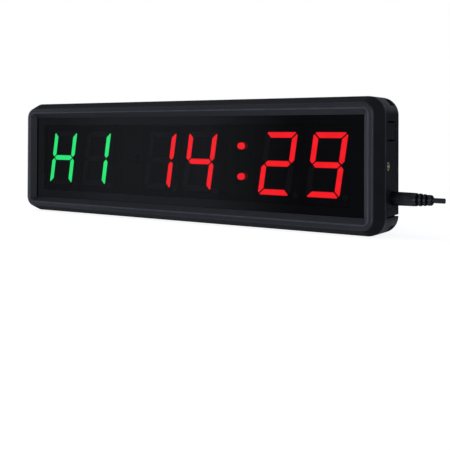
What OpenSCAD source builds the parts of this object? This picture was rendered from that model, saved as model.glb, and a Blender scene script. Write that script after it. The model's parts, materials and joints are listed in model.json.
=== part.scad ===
// Round timer for a gym wall: a long shallow case with a dark window, two green and four
// red seven-segment digits, a threaded fixing in each end, and a pluggable power lead.
// Origin: middle of the case's base. +X right from the front, +Y to the back, +Z up. Millimetres.

/* [Case] */
// Case width from end to end
case_width = 330; // [326:1:334]
// Case height
case_height = 94; // [93:0.5:96]
// Case depth from front face to back
case_depth = 36; // [35.5:0.5:38]
// Width of the frame round the window, also the corner radius
rail_width = 12.5; // [12:0.5:13.5]
// Wall thickness behind the frame
wall = 2.4; // [2.2:0.1:2.6]
// Inset of the front flat from the widest outline
front_inset = 4.7; // [4:0.1:5]
// Inset where the front flat meets the bevel round the window
bevel_inset = 8.3; // [8:0.1:9]
// Depth at which the outer taper ends
taper_depth = 10.6; // [10:0.2:11]
// Depth of the window lip behind the front flat
lip_depth = 4.4; // [4:0.1:4.6]
// Thickness of the rear cover
cover_thickness = 2.5; // [2.2:0.1:2.8]

/* [Window] */
// Depth of the lens's front face
lens_depth = 5.2; // [5.1:0.1:5.6]
// Lens thickness
lens_thickness = 2; // [1.5:0.1:2.5]
// How far the lens runs behind the frame
lens_overlap = 6.5; // [5.5:0.5:6.5]
// Cut across each corner of the lens
lens_corner_cut = 10.5; // [10:0.1:10.6]

/* [Digits] */
// Height of a digit
digit_height = 45.7; // [45:0.1:46.5]
// Width of a digit before slanting
digit_width = 26.1; // [25:0.1:27]
// Width of one segment
segment_width = 4.4; // [4:0.1:4.8]
// Slant of the digits, degrees
digit_slant = 8.5; // [6:0.5:10]
// Spacing of the two digits in a pair
digit_pitch = 38; // [37.8:0.1:38.4]
// Spacing of the three pairs
pair_pitch = 105.2; // [104:0.2:106]
// Sideways offset of the middle pair
pair_offset = -1; // [-2:0.5:2]
// Depth of the digits' front faces
digit_depth = 9.3; // [9.2:0.1:9.8]
// Height of a digit module's housing
module_height = 56; // [54:0.5:57]
// Diameter of a decimal point
point_diameter = 4.4; // [3.6:0.2:4.6]

/* [Board] */
// Depth of the circuit board's front face
board_depth = 20; // [19.5:0.1:20.5]
// Circuit board thickness
board_thickness = 1.6; // [1.2:0.2:1.6]

/* [Ends] */
// Outside diameter of the threaded insert
insert_diameter = 6; // [5.6:0.2:6.4]
// Hole diameter inside the threaded insert
insert_bore = 3.3; // [3.1:0.1:3.5]
// Length of the threaded insert
insert_length = 7.5; // [6:0.5:7.5]
// Depth of the insert's axis behind the front face
insert_depth = 15.9; // [15.5:0.1:16.5]
// Depth of the power jack's axis behind the front face
jack_depth = 23.5; // [23:0.1:24]
// Height of the power jack's axis below mid-height
jack_drop = 21.8; // [21.4:0.1:22]

/* [Plug] */
// Outside diameter of the plug's metal barrel
barrel_diameter = 5.5; // [5.4:0.1:5.5]
// Length of the plug's metal barrel
barrel_length = 9.5; // [8.5:0.5:9.5]
// Greatest diameter of the plug's moulding
boot_diameter = 9.4; // [9:0.1:9.6]
// Diameter of the power lead
lead_diameter = 3.4; // [3:0.1:3.6]
// Length of lead kept beyond the moulding
lead_length = 8; // [6:1:20]

/* [Hidden] */
$fn = 48;
half_width = case_width / 2;
half_height = case_height / 2;
corner_x = half_width - rail_width;
corner_y = half_height - rail_width;
tape_gap = 0.25;
tape_play = 0.03;
tape_inset = 0.5;
tape_corner_trim = 0.6;
lip_back = lens_depth - tape_gap;
lip_relief = 0.3;
lip_root = wall + front_inset * (1 - lip_back / taper_depth) + lip_relief;
lens_x = corner_x + lens_overlap;
lens_y = corner_y + lens_overlap;
cover_front = case_depth - cover_thickness;
cover_play = 0.2;
eps = 1;

boss_radius = 2.8;
boss_inset = 8.2;
boss_gap = 0.1;
boss_web = 1.6;
rib_setback = 2;
rib_bite = 0.6;
pilot_radius = 1.1;
pilot_depth = 13;
cover_screw_length = 9;
cover_hole_radius = 1.6;
head_recess_radius = 2.9;
head_radius = 2.6;
head_recess_depth = 1.4;
head_sink = 0.1;
screw_fit = 0.05;
cross_half = 0.3;
cross_depth = 0.8;
cover_cross_reach = 1.6;

vent_x = 70;
vent_pitch = 7;
vent_half = 12;
vent_radius = 1.5;
grille_x = -112;
grille_y = 12;
grille_ring = 4;
grille_radius = 1.1;
label_x = 45;
label_y = 16;
label_sink = 0.3;
label_play = 0.2;
label_low = 0.1;

module_gap = 0.4;
module_width = digit_pitch - module_gap;
pocket_depth = 0.8;
segment_play = 0.06;
segment_proud = 0.05;
segment_gap = 0.4;
corner_trim = 2.2;
point_x = 13.9;
point_y = -22;
point_radius = point_diameter / 2;
digit_x = [
  pair_offset - pair_pitch - digit_pitch / 2,
  pair_offset - pair_pitch + digit_pitch / 2,
  pair_offset - digit_pitch / 2,
  pair_offset + digit_pitch / 2,
  pair_offset + pair_pitch - digit_pitch / 2,
  pair_offset + pair_pitch + digit_pitch / 2
];
// segments in the order top, upper right, lower right, bottom, lower left, upper left, middle
letter_h = [0, 1, 1, 0, 1, 1, 1];
figure_one = [0, 1, 1, 0, 0, 0, 0];
figure_four = [0, 1, 1, 0, 0, 1, 1];
figure_two = [1, 1, 0, 1, 1, 0, 1];
figure_nine = [1, 1, 1, 1, 0, 1, 1];
shown = [letter_h, figure_one, figure_one, figure_four, figure_two, figure_nine];

board_back = board_depth + board_thickness;
board_margin_x = 15.5;
board_margin_y = 13;
board_x = half_width - board_margin_x;
board_y = half_height - board_margin_y;
standoff_x = [-140, -53, 51.7, 140];
standoff_y = 31;
standoff_radius = 3.2;
standoff_floor = 2;
board_pilot_radius = 1.3;
board_hole_radius = 1.6;
board_head_radius = 2.4;
board_head_height = 1.6;
board_screw_length = 9;
board_cross_reach = 1.4;
pin_pitch = 5.08;
pin_row = 25.4;
pin_radius = 0.4;
pin_length = 1.8;
colon_x = 51.7;
colon_y = [12.3, -10.6];
led_radius = 2.5;
led_flange = 2.9;
led_height = 8.6;
led_tip_radius = 1.2;
led_brow_radius = 2;
led_tip_height = 0.7;
led_brow_height = 1;
led_foot = 1;
receiver_x = -52;
receiver_half_x = 2.9;
receiver_half_y = 3.6;
receiver_height = 4.6;
receiver_dome = 1.6;
receiver_dome_tip = 1.5;
receiver_dome_root = 2.6;

chip_lift = 0.1;
chip_lead_pitch = 1.27;
chip_lead_width = 0.4;
chip_lead_reach = 1.2;
chip_lead_thickness = 0.3;
wide_chip_width = 7.5;
wide_chip_height = 2.3;
controller_place = [0, 4];
controller_length = 18;
controller_leads = 14;
driver_y = -12;
driver_length = 15.4;
driver_leads = 12;
clock_chip_place = [30, 8];
clock_chip_size = [4.9, 3.9, 1.5];
clock_chip_leads = 4;
crystal_place = [38, 8];
crystal_length = 6;
crystal_radius = 1.25;
crystal_lift = 0.05;
cell_x = 62;
cell_y = 2;
cell_radius = 10;
cell_thickness = 3.2;
cell_play = 0.1;
holder_rim = 1.6;
holder_floor = 1;
holder_height = 4.6;
holder_gap_half = 4;
buzzer_radius = 6;
buzzer_height = 9;
buzzer_hole_radius = 1;
buzzer_hole_depth = 1.5;
regulator_x = 103.3;
regulator_y = 11;
regulator_half_x = 3.3;
regulator_half_y = 3.05;
regulator_height = 2.4;
regulator_tab_half = 2.6;
regulator_tab_reach = 3;
regulator_tab_height = 0.6;
regulator_lead_pitch = 2;
regulator_lead_half = 0.4;
regulator_lead_reach = 2.5;
regulator_lead_height = 0.5;
capacitor_x = [84, 116, 130];
capacitor_y = 12;
capacitor_radius = 4;
capacitor_height = 9.5;
score_half = 2.4;
score_half_width = 0.15;
score_depth = 0.4;
resistor_y = -20;
resistor_pitch = 3.4;
resistor_half_x = 0.8;
resistor_half_y = 1.6;
resistor_height = 0.6;

latch_hinge = 14;
latch_slot = 1.1;
latch_end_slot = 2.4;
latch_play = 0.02;
latch_root = 0.5;
catch_play = 0.4;
catch_back_play = 0.7;
hook_play = 0.2;
knuckle_radius = 1;
socket_radius = 1.05;
root_gap = 0.16;
upper_latch_low = 17.8;
upper_latch_high = 29.1;
upper_latch_mid = (upper_latch_low + upper_latch_high) / 2;
upper_latch_end = 28.4;
upper_catch_half = 3.2;
lower_latch_low = -33.6;
lower_latch_high = -28.4;
lower_latch_top_slot = 0.15;
lower_latch_mid = (lower_latch_low + lower_latch_high) / 2;
lower_catch_half = 2;
catch_reach = 4;
catch_front = 23.6;
catch_tip = 25.8;
catch_back = 27;
hook_thickness = 1.05;
tongue_inner = 4.2;
tongue_outer = 2.7;
tongue_half = 5;
tongue_front = 21.5;
weld = 0.5;

insert_radius = insert_diameter / 2;
insert_boss_radius = 5.2;
insert_boss_length = 10;
press_play = 0.02;
insert_relief = 0.5;
insert_sink = 0.05;
insert_groove_share = [0.3, 0.62];
insert_groove_half = 0.5;
insert_groove_depth = 0.3;
corner_slot_start = 31;
corner_slot_sweep = 28;
corner_slot_front = 24.5;
corner_slot_rim = 2.2;
corner_slot_back = case_depth - corner_slot_rim;

jack_y = -jack_drop;
jack_hole_radius = 4.95;
jack_nose_radius = 4.85;
jack_face = 0.3;
jack_block_front = 2.5;
jack_block_back = 15;
jack_block_half = 5;
jack_block_rise = 5.5;
jack_bore_play = 0.08;
jack_bore_radius = barrel_diameter / 2 + jack_bore_play;
jack_bore_depth = 10.8;
jack_pin_radius = 1;
jack_pin_tip = 2.3;
jack_pin_tail = 15.6;
tag_end = 18.5;
tag_half = 0.4;
spring_low = 2.95;
spring_high = 3.35;
spring_half = 0.8;
spring_front = 3.2;
spring_play = 0.1;
spring_window = 0.4;
rib_gap = 0.1;
rib_thickness = 1.5;
rib_half = 4.6;
rib_reach = 12;

boot_radius = boot_diameter / 2;
boot_start = -0.25;
boot_end = 27.2;
boot_pocket = 2;
boot_chamfer = 0.2;
boot_grip_end = 14.5;
boot_step = 0.31;
boot_groove_start = [17, 20.2, 23.2];
boot_groove_length = [1.2, 1, 0.8];
boot_groove_depth = 0.6;
boot_groove_slope = 0.15;
boot_groove_lip = 0.1;
boot_tail_start = 26.6;
boot_tail_drop = 1.6;
barrel_radius = barrel_diameter / 2;
barrel_wall = 0.35;
contact_outer = 1.53;
contact_bore = 1.08;
insulator_bore = 1.55;
insulator_sink = 0.2;
contact_sink = 0.4;
tube_play = 0.02;
lead_radius = lead_diameter / 2;
lead_start = 22.5;
wire_radius = 0.75;
wire_bend = 3;
wire_drop = 6.5;
wire_turn = 8;
wire_shift = 5;
header_x = 124;
header_length = 6;
header_height = 5.4;
header_half = 4.5;
header_rim = 1;
header_well = 0.8;

case_black = [0.045, 0.047, 0.052];
smoke = [0.03, 0.03, 0.035, 0.55];
housing_black = [0.02, 0.02, 0.024];
lit_green = [0.05, 0.95, 0.45];
lit_red = [0.98, 0.10, 0.12];
unlit_grey = [0.07, 0.07, 0.08];
board_green = [0.04, 0.25, 0.12];
chip_black = [0.05, 0.05, 0.06];
bright_metal = [0.75, 0.75, 0.77];
brass = [0.72, 0.60, 0.28];
paper_grey = [0.75, 0.75, 0.74];
soft_black = [0.06, 0.06, 0.07];
tape_black = [0.03, 0.03, 0.03];
insulator_cream = [0.80, 0.78, 0.70];
wire_red = [0.60, 0.05, 0.05];

// Working frame: x right, y up from mid-height, z depth behind the front face
module at_front() {
  translate([0, -case_depth / 2, half_height])
    rotate([90, 0, 0])
      mirror([0, 0, 1])
        children();
}

module block(x0, x1, y0, y1, d0, d1) {
  translate([x0, y0, d0])
    cube([x1 - x0, y1 - y0, d1 - d0]);
}

module post(x, y, d0, d1, radius) {
  translate([x, y, d0])
    cylinder(h = d1 - d0, r = radius);
}

// Round bar along x, measured outward from the right-hand end wall's outer face
module end_bar(y, d, out0, out1, radius) {
  translate([half_width + out0, y, d])
    rotate([0, 90, 0])
      cylinder(h = out1 - out0, r = radius);
}

module upright_bar(x, y0, y1, d, radius) {
  translate([x, y0, d])
    rotate([-90, 0, 0])
      cylinder(h = y1 - y0, r = radius);
}

module on_side(side) {
  mirror([side < 0 ? 1 : 0, 0, 0])
    children();
}

module frame_profile() {
  polygon([
    [rail_width - front_inset, 0],
    [rail_width - bevel_inset, 0],
    [0, lip_depth],
    [0, lip_back],
    [rail_width - lip_root, lip_back],
    [rail_width - wall, taper_depth],
    [rail_width - wall, case_depth],
    [rail_width, case_depth],
    [rail_width, taper_depth]
  ]);
}

module rail(length) {
  rotate([90, 0, 0])
    linear_extrude(height = length, center = true)
      frame_profile();
}

module frame_ring() {
  for (side = [-1, 1]) {
    translate([side * corner_x, 0, 0])
      rotate([0, 0, 90 - side * 90])
        rail(2 * corner_y);
    translate([0, side * corner_y, 0])
      rotate([0, 0, side * 90])
        rail(2 * corner_x);
  }
  for (quarter = [0 : 3])
    at_corner(quarter)
      rotate([0, 0, 90 * quarter])
        rotate_extrude(angle = 90)
          frame_profile();
}

module at_corner(quarter) {
  translate([
    (quarter == 0 || quarter == 3 ? 1 : -1) * corner_x,
    (quarter < 2 ? 1 : -1) * corner_y,
    0
  ])
    children();
}

// Slot through the wall round one corner, near the back
module corner_slot(quarter) {
  at_corner(quarter)
    rotate([0, 0, 90 * quarter + corner_slot_start])
      rotate_extrude(angle = corner_slot_sweep)
        translate([rail_width - wall - eps, corner_slot_front])
          square([wall + 2 * eps, corner_slot_back - corner_slot_front]);
}

// Rib from a cover boss out to the rounded corner of the wall
module boss_rib(quarter) {
  at_corner(quarter)
    rotate([0, 0, 90 * quarter + 45])
      block((rail_width - boss_inset) * sqrt(2), rail_width - wall + rib_bite,
        -boss_web / 2, boss_web / 2, taper_depth + rib_setback, corner_slot_front - rib_setback);
}

module latch_opening(low, high, end) {
  block(half_width - wall - eps, half_width + eps, low, high, latch_hinge, end);
  upright_bar(half_width - wall / 2, low, high, latch_hinge, socket_radius);
}

module latch_tab(low, high, end) {
  block(half_width - wall + latch_play, half_width - latch_play, low, high,
    latch_hinge + root_gap, end);
  upright_bar(half_width - wall / 2, low, high, latch_hinge, knuckle_radius);
}

module cover_fixing_positions() {
  for (sx = [-1, 1])
    for (sy = [-1, 1])
      translate([sx * (half_width - boss_inset), sy * (half_height - boss_inset), 0])
        children();
}

module board_fixing_positions() {
  for (x = standoff_x)
    for (sy = [-1, 1])
      translate([x, sy * standoff_y, 0])
        children();
}

module front_bezel() {
  color(case_black)
    at_front()
      difference() {
        union() {
          frame_ring();
          cover_fixing_positions()
            post(0, 0, lip_back - weld, cover_front - boss_gap, boss_radius);
          for (quarter = [0 : 3])
            boss_rib(quarter);
          for (side = [-1, 1])
            on_side(side)
              end_bar(0, insert_depth, -insert_boss_length, -eps, insert_boss_radius);
          jack_ribs();
        }
        cover_fixing_positions()
          post(0, 0, cover_front - pilot_depth, case_depth, pilot_radius);
        for (side = [-1, 1])
          on_side(side) {
            end_bar(0, insert_depth, -insert_length - insert_relief, eps,
              insert_radius + press_play);
            latch_opening(upper_latch_low - latch_slot, upper_latch_high + latch_slot,
              upper_latch_end + latch_end_slot);
            latch_opening(lower_latch_low - latch_slot,
              lower_latch_high + lower_latch_top_slot, case_depth + eps);
          }
        end_bar(jack_y, jack_depth, -wall - eps, eps, jack_hole_radius);
        for (quarter = [0 : 3])
          corner_slot(quarter);
      }
}

module jack_ribs() {
  front = jack_depth - jack_block_rise - rib_gap;
  back = jack_depth + jack_block_rise + rib_gap;
  block(half_width - rib_reach, half_width - eps, jack_y - rib_half, jack_y + rib_half,
    front - rib_thickness, front);
  block(half_width - rib_reach, half_width - eps, jack_y - rib_half, jack_y + rib_half,
    back, back + rib_thickness);
}

module rounded_plate(x, y, radius, d0, d1) {
  block(-x, x, -y + radius, y - radius, d0, d1);
  block(-x + radius, x - radius, -y, y, d0, d1);
  for (sx = [-1, 1])
    for (sy = [-1, 1])
      post(sx * (x - radius), sy * (y - radius), d0, d1, radius);
}

module vent_slot() {
  block(-vent_radius, vent_radius, -vent_half, vent_half, cover_front - eps, case_depth + eps);
  post(0, -vent_half, cover_front - eps, case_depth + eps, vent_radius);
  post(0, vent_half, cover_front - eps, case_depth + eps, vent_radius);
}

module cover_tongue() {
  difference() {
    block(half_width - tongue_inner, half_width - tongue_outer,
      upper_latch_mid - tongue_half, upper_latch_mid + tongue_half,
      tongue_front, cover_front + weld);
    block(half_width - tongue_inner - eps, half_width,
      upper_latch_mid - upper_catch_half - catch_play,
      upper_latch_mid + upper_catch_half + catch_play,
      catch_front - catch_play, catch_back + catch_back_play);
  }
}

module rear_cover() {
  inset = wall + cover_play;
  color(case_black)
    at_front()
      difference() {
        union() {
          rounded_plate(half_width - inset, half_height - inset, rail_width - inset,
            cover_front, case_depth);
          board_fixing_positions()
            post(0, 0, board_back, cover_front + weld, standoff_radius);
          for (side = [-1, 1])
            on_side(side)
              cover_tongue();
        }
        board_fixing_positions()
          post(0, 0, board_back - eps, cover_front - standoff_floor, board_pilot_radius);
        cover_fixing_positions() {
          post(0, 0, cover_front - eps, case_depth + eps, cover_hole_radius);
          post(0, 0, case_depth - head_recess_depth, case_depth + eps, head_recess_radius);
        }
        for (side = [-1, 1])
          on_side(side)
            block(half_width - catch_reach - catch_play, half_width,
              lower_latch_mid - lower_catch_half - catch_play,
              lower_latch_mid + lower_catch_half + catch_play,
              case_depth - hook_thickness - hook_play, case_depth + eps);
        for (side = [-1, 1])
          for (k = [-3 : 3])
            translate([side * vent_x + k * vent_pitch, 0, 0])
              vent_slot();
        translate([grille_x, grille_y, 0])
          sound_holes();
        block(-label_x, label_x, -label_y, label_y, case_depth - label_sink, case_depth + eps);
      }
}

module sound_holes() {
  post(0, 0, cover_front - eps, case_depth + eps, grille_radius);
  for (turn = [0 : 60 : 300])
    rotate([0, 0, turn])
      post(grille_ring, 0, cover_front - eps, case_depth + eps, grille_radius);
}

module lens_outline(x, y, cut) {
  polygon([
    [x, y - cut], [x - cut, y], [-x + cut, y], [-x, y - cut],
    [-x, -y + cut], [-x + cut, -y], [x - cut, -y], [x, -y + cut]
  ]);
}

module display_lens() {
  color(smoke)
    at_front()
      translate([0, 0, lens_depth])
        linear_extrude(height = lens_thickness)
          lens_outline(lens_x, lens_y, lens_corner_cut);
}

module lens_tape() {
  color(tape_black)
    at_front()
      translate([0, 0, lip_back + tape_play])
        linear_extrude(height = tape_gap - 2 * tape_play)
          difference() {
            lens_outline(lens_x - tape_inset, lens_y - tape_inset,
              lens_corner_cut - tape_corner_trim);
            square([2 * (corner_x + tape_inset), 2 * (corner_y + tape_inset)], center = true);
          }
}

module main_board() {
  color(board_green)
    at_front()
      difference() {
        block(-board_x, board_x, -board_y, board_y, board_depth, board_back);
        board_fixing_positions()
          post(0, 0, board_depth - eps, board_back + eps, board_hole_radius);
      }
}

function slant(p) = [p[0] + p[1] * tan(digit_slant), p[1]];

// Outlines of the three kinds of segment, each grown by m
function grown_gap(m) = segment_gap - m * sqrt(2);
function grown_trim(m) = corner_trim + m * (2 - sqrt(2));

function level_end(x, y, t, e, k) = [
  [-x + k, y],
  [x - k, y],
  [x - (k + e) / 2, y - (k - e) / 2],
  [x - t - e, y - t],
  [-x + t + e, y - t],
  [-x + (k + e) / 2, y - (k - e) / 2]
];

function upright_end(x, y, t, e, k) = [
  [x, y - k],
  [x, t / 2 + e],
  [x - t / 2, e],
  [x - t, t / 2 + e],
  [x - t, y - t - e],
  [x - (k - e) / 2, y - (k + e) / 2]
];

function middle_bar(x, t, e) = [
  [x - t / 2 - e, 0],
  [x - t - e, t / 2],
  [-x + t + e, t / 2],
  [-x + t / 2 + e, 0],
  [-x + t + e, -t / 2],
  [x - t - e, -t / 2]
];

function segment_points(index, m) =
  let (
    x = digit_width / 2 + m,
    y = digit_height / 2 + m,
    t = segment_width + 2 * m,
    e = grown_gap(m),
    k = grown_trim(m)
  )
  index == 6 ? middle_bar(x, t, e)
  : index == 0 ? level_end(x, y, t, e, k)
  : index == 3 ? [for (p = level_end(x, y, t, e, k)) [p[0], -p[1]]]
  : index == 1 ? upright_end(x, y, t, e, k)
  : index == 2 ? [for (p = upright_end(x, y, t, e, k)) [p[0], -p[1]]]
  : index == 4 ? [for (p = upright_end(x, y, t, e, k)) [-p[0], -p[1]]]
  : [for (p = upright_end(x, y, t, e, k)) [-p[0], p[1]]];

module segment(index, m, d0, d1) {
  translate([0, 0, d0])
    linear_extrude(height = d1 - d0)
      polygon([for (p = segment_points(index, m)) slant(p)]);
}

module digit_module(place) {
  color(housing_black)
    at_front()
      translate([digit_x[place], 0, 0])
        difference() {
          block(-module_width / 2, module_width / 2, -module_height / 2, module_height / 2,
            digit_depth, board_depth);
          for (index = [0 : 6])
            segment(index, segment_play, digit_depth - eps, digit_depth + pocket_depth);
          post(point_x, point_y, digit_depth - eps, digit_depth + pocket_depth,
            point_radius + segment_play);
        }
}

module round_tens_module() {
  digit_module(0);
}

module round_units_module() {
  digit_module(1);
}

module minute_tens_module() {
  digit_module(2);
}

module minute_units_module() {
  digit_module(3);
}

module second_tens_module() {
  digit_module(4);
}

module second_units_module() {
  digit_module(5);
}

module segments(places, state) {
  at_front()
    for (place = places)
      translate([digit_x[place], 0, 0])
        for (index = [0 : 6])
          if (shown[place][index] == state)
            segment(index, 0, digit_depth - segment_proud, digit_depth + pocket_depth);
}

module points(places) {
  at_front()
    for (place = places)
      post(digit_x[place] + point_x, point_y, digit_depth - segment_proud,
        digit_depth + pocket_depth, point_radius);
}

module round_segments_lit() {
  color(lit_green)
    segments([0, 1], 1);
}

module clock_segments_lit() {
  color(lit_red)
    segments([2, 3, 4, 5], 1);
}

module round_segments_unlit() {
  color(unlit_grey) {
    segments([0, 1], 0);
    points([0, 1]);
  }
}

module clock_segments_unlit() {
  color(unlit_grey) {
    segments([2, 3, 4, 5], 0);
    points([2, 3, 4, 5]);
  }
}

module colon_leds() {
  brow = led_tip_height + led_brow_height;
  color(lit_red)
    at_front()
      for (y = colon_y)
        translate([colon_x, y, board_depth - led_height]) {
          cylinder(h = led_tip_height, r1 = led_tip_radius, r2 = led_brow_radius);
          translate([0, 0, led_tip_height])
            cylinder(h = led_brow_height, r1 = led_brow_radius, r2 = led_radius);
          translate([0, 0, brow])
            cylinder(h = led_height - led_foot - brow, r = led_radius);
          translate([0, 0, led_height - led_foot])
            cylinder(h = led_foot, r = led_flange);
        }
}

module digit_pins() {
  color(bright_metal)
    at_front()
      for (x = digit_x)
        for (sy = [-1, 1])
          for (k = [-2 : 2])
            post(x + k * pin_pitch, sy * pin_row, board_back, board_back + pin_length, pin_radius);
}

module ir_receiver() {
  color(chip_black)
    at_front() {
      block(receiver_x - receiver_half_x, receiver_x + receiver_half_x,
        -receiver_half_y, receiver_half_y, board_depth - receiver_height, board_depth);
      translate([receiver_x, 0, board_depth - receiver_height - receiver_dome])
        cylinder(h = receiver_dome, r1 = receiver_dome_tip, r2 = receiver_dome_root);
    }
}

// Gull-wing chip standing on the back of the board
module chip(place, size, leads) {
  lead_span = size[1] + 2 * chip_lead_reach;
  translate([place[0], place[1], board_back]) {
    translate([-size[0] / 2, -size[1] / 2, chip_lift])
      cube(size);
    for (k = [0 : leads - 1])
      translate([
        (k - (leads - 1) / 2) * chip_lead_pitch - chip_lead_width / 2, -lead_span / 2, 0
      ])
        cube([chip_lead_width, lead_span, chip_lead_thickness]);
  }
}

module microcontroller() {
  color(chip_black)
    at_front()
      chip(controller_place, [controller_length, wide_chip_width, wide_chip_height],
        controller_leads);
}

module display_drivers() {
  color(chip_black)
    at_front()
      for (pair = [-1 : 1])
        chip([pair_offset + pair * pair_pitch, driver_y],
          [driver_length, wide_chip_width, wide_chip_height], driver_leads);
}

module clock_chip() {
  color(chip_black)
    at_front()
      chip(clock_chip_place, clock_chip_size, clock_chip_leads);
}

module crystal() {
  color(bright_metal)
    at_front()
      translate([crystal_place[0], crystal_place[1], board_back + crystal_radius + crystal_lift])
        rotate([0, 90, 0])
          cylinder(h = crystal_length, r = crystal_radius);
}

module coin_cell_holder() {
  floor_back = board_back + holder_floor;
  top = board_back + holder_height + eps;
  color(chip_black)
    at_front()
      difference() {
        post(cell_x, cell_y, board_back, board_back + holder_height, cell_radius + holder_rim);
        post(cell_x, cell_y, floor_back, top, cell_radius + cell_play);
        block(cell_x - holder_gap_half, cell_x + holder_gap_half,
          cell_y - 2 * cell_radius, cell_y, floor_back, top);
      }
}

module coin_cell() {
  color(bright_metal)
    at_front()
      post(cell_x, cell_y, board_back + holder_floor,
        board_back + holder_floor + cell_thickness, cell_radius);
}

module buzzer() {
  top = board_back + buzzer_height;
  color(chip_black)
    at_front()
      difference() {
        post(grille_x, grille_y, board_back, top, buzzer_radius);
        post(grille_x, grille_y, top - buzzer_hole_depth, top + eps, buzzer_hole_radius);
      }
}

module voltage_regulator() {
  color(chip_black)
    at_front()
      translate([regulator_x, regulator_y, board_back]) {
        block(-regulator_half_x, regulator_half_x, -regulator_half_y, regulator_half_y,
          chip_lift, regulator_height);
        block(-regulator_tab_half, regulator_tab_half, regulator_half_y - chip_lift,
          regulator_half_y + regulator_tab_reach, 0, regulator_tab_height);
        for (k = [-1 : 1])
          translate([k * regulator_lead_pitch, 0, 0])
            block(-regulator_lead_half, regulator_lead_half,
              -regulator_half_y - regulator_lead_reach, -regulator_half_y + chip_lift,
              0, regulator_lead_height);
      }
}

// Electrolytic cans with a cross scored in the top
module capacitors() {
  top = capacitor_height;
  color(case_black)
    at_front()
      for (x = capacitor_x)
        translate([x, capacitor_y, board_back])
          difference() {
            post(0, 0, 0, top, capacitor_radius);
            block(-score_half, score_half, -score_half_width, score_half_width,
              top - score_depth, top + eps);
            block(-score_half_width, score_half_width, -score_half, score_half,
              top - score_depth, top + eps);
          }
}

module resistors() {
  color(chip_black)
    at_front()
      for (pair = [-1 : 1])
        for (k = [-3 : 3])
          translate([pair_offset + pair * pair_pitch + k * resistor_pitch, resistor_y, board_back])
            block(-resistor_half_x, resistor_half_x, -resistor_half_y, resistor_half_y,
              0, resistor_height);
}

module power_header() {
  mid = jack_y + wire_drop + spring_low / 2;
  top = board_back + header_height;
  color(insulator_cream)
    at_front()
      difference() {
        block(header_x - header_length, header_x, mid - header_half, mid + header_half,
          board_back, top);
        block(header_x - header_length + header_rim, header_x - header_rim,
          mid - header_half + header_rim, mid + header_half - header_rim,
          top - header_well, top + eps);
      }
}

// Wire that leaves along x, drops by wire_drop and runs on along x
module wire(y_end, x_start, x_end, x_turn) {
  y_start = y_end + wire_drop;
  translate([x_start, y_start, jack_depth])
    rotate([0, 90, 0])
      cylinder(h = x_turn - wire_bend - x_start, r = wire_radius);
  translate([x_turn - wire_bend, y_start - wire_bend, jack_depth])
    rotate_extrude(angle = 90)
      translate([wire_bend, 0])
        circle(r = wire_radius);
  translate([x_turn, y_end + wire_bend, jack_depth])
    rotate([-90, 0, 0])
      cylinder(h = wire_drop - 2 * wire_bend, r = wire_radius);
  translate([x_turn + wire_bend, y_end + wire_bend, jack_depth])
    rotate([0, 0, 180])
      rotate_extrude(angle = 90)
        translate([wire_bend, 0])
          circle(r = wire_radius);
  translate([x_turn + wire_bend, y_end, jack_depth])
    rotate([0, 90, 0])
      cylinder(h = x_end - x_turn - wire_bend, r = wire_radius);
}

module power_wires() {
  color(wire_red)
    at_front() {
      wire(jack_y, header_x, half_width - tag_end, header_x + wire_turn);
      wire(jack_y + (spring_low + spring_high) / 2, header_x, half_width - tag_end,
        header_x + wire_turn + wire_shift);
    }
}

module jack_body() {
  color(chip_black)
    at_front()
      difference() {
        union() {
          block(half_width - jack_block_back, half_width - jack_block_front,
            jack_y - jack_block_half, jack_y + jack_block_half,
            jack_depth - jack_block_rise, jack_depth + jack_block_rise);
          end_bar(jack_y, jack_depth, -jack_block_front - eps, -jack_face, jack_nose_radius);
        }
        end_bar(jack_y, jack_depth, -jack_bore_depth, eps, jack_bore_radius);
        end_bar(jack_y, jack_depth, -jack_block_back - eps, -jack_bore_depth + eps,
          jack_pin_radius + press_play);
        block(half_width - jack_block_back - eps, half_width - spring_front + spring_play * 2,
          jack_y + jack_bore_radius - spring_window, jack_y + spring_high + spring_play,
          jack_depth - spring_half - spring_play, jack_depth + spring_half + spring_play);
      }
}

module jack_pin() {
  color(bright_metal)
    at_front() {
      end_bar(jack_y, jack_depth, -jack_pin_tail, -jack_pin_tip, jack_pin_radius);
      block(half_width - tag_end, half_width - jack_block_back - spring_play,
        jack_y - jack_pin_radius, jack_y + jack_pin_radius,
        jack_depth - tag_half, jack_depth + tag_half);
    }
}

module jack_spring() {
  color(bright_metal)
    at_front()
      block(half_width - tag_end, half_width - spring_front,
        jack_y + spring_low, jack_y + spring_high,
        jack_depth - spring_half, jack_depth + spring_half);
}

module threaded_insert() {
  difference() {
    end_bar(0, insert_depth, -insert_length, -insert_sink, insert_radius);
    end_bar(0, insert_depth, -insert_length - eps, eps, insert_bore / 2);
    for (share = insert_groove_share)
      insert_groove(-insert_length * share);
  }
}

module insert_groove(mid) {
  difference() {
    end_bar(0, insert_depth, mid - insert_groove_half, mid + insert_groove_half,
      insert_radius + eps);
    end_bar(0, insert_depth, mid - eps, mid + eps, insert_radius - insert_groove_depth);
  }
}

module left_insert() {
  color(brass)
    at_front()
      on_side(-1)
        threaded_insert();
}

module right_insert() {
  color(brass)
    at_front()
      threaded_insert();
}

module cross_recess(reach) {
  block(-reach, reach, -cross_half, cross_half, -eps, cross_depth);
  block(-cross_half, cross_half, -reach, reach, -eps, cross_depth);
}

module board_screws() {
  head_front = board_depth - board_head_height;
  color(bright_metal)
    at_front()
      board_fixing_positions()
        difference() {
          union() {
            post(0, 0, head_front, board_depth, board_head_radius);
            post(0, 0, head_front + cross_depth, board_depth + board_screw_length,
              board_pilot_radius - screw_fit);
          }
          translate([0, 0, head_front])
            cross_recess(board_cross_reach);
        }
}

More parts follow.
